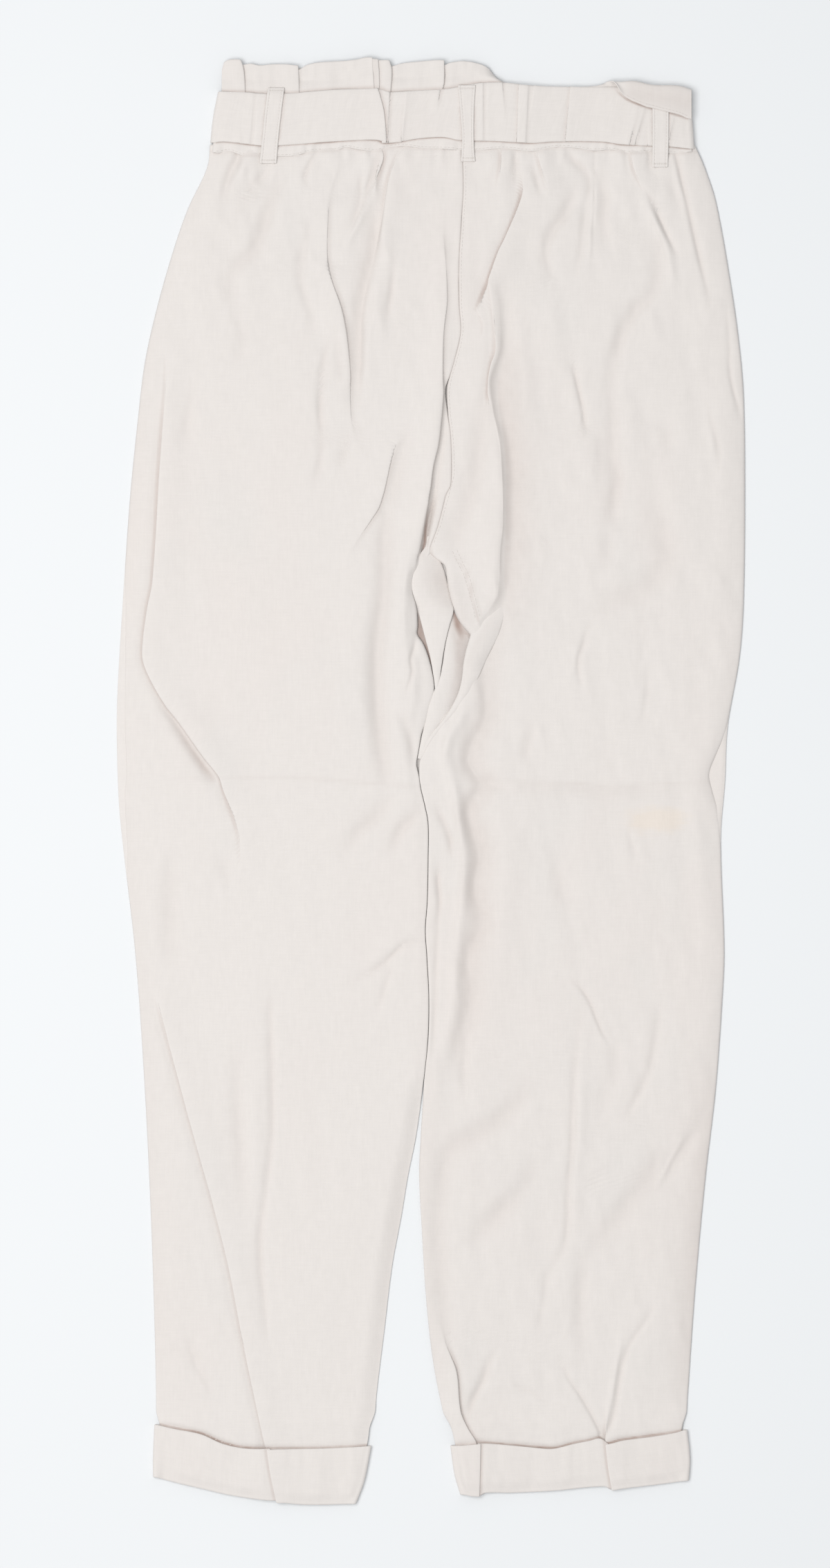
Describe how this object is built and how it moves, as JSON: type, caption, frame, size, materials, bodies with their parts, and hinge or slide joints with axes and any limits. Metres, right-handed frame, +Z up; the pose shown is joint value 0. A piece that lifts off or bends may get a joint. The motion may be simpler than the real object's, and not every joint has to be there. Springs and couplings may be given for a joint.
{
  "type": "belted paperbag-waist trousers laid flat",
  "caption": "Tapered linen-look trousers laid flat, back up, with an elasticated paperbag waist, a fabric belt in loops and turn-up cuffs.",
  "frame": {"origin": "the middle of the footprint, on the surface that the trousers lie on", "axes": "+Y runs up the garment from the cuffs to the waist, +Z is up out of the back of the trousers, and +X is to the right of the laid garment"},
  "size_m": [0.454, 1.046, 0.0129],
  "materials": {
    "cloth": "matt stone-white linen-blend plain weave, softly creased",
    "belt_cloth": "the same cloth, doubled, pressed and a little smoother"
  },
  "bodies": {
    "root": {"back_left": "cloth", "back_right": "cloth", "front_left": "cloth", "front_right": "cloth", "waistband": "cloth", "frill_back": "cloth", "frill_front": "cloth", "belt": "belt_cloth", "belt_loop_left": "belt_cloth", "belt_loop_centre": "belt_cloth", "belt_loop_right": "belt_cloth", "cuff_left": "cloth", "cuff_right": "cloth"}
  },
  "joints": []
}
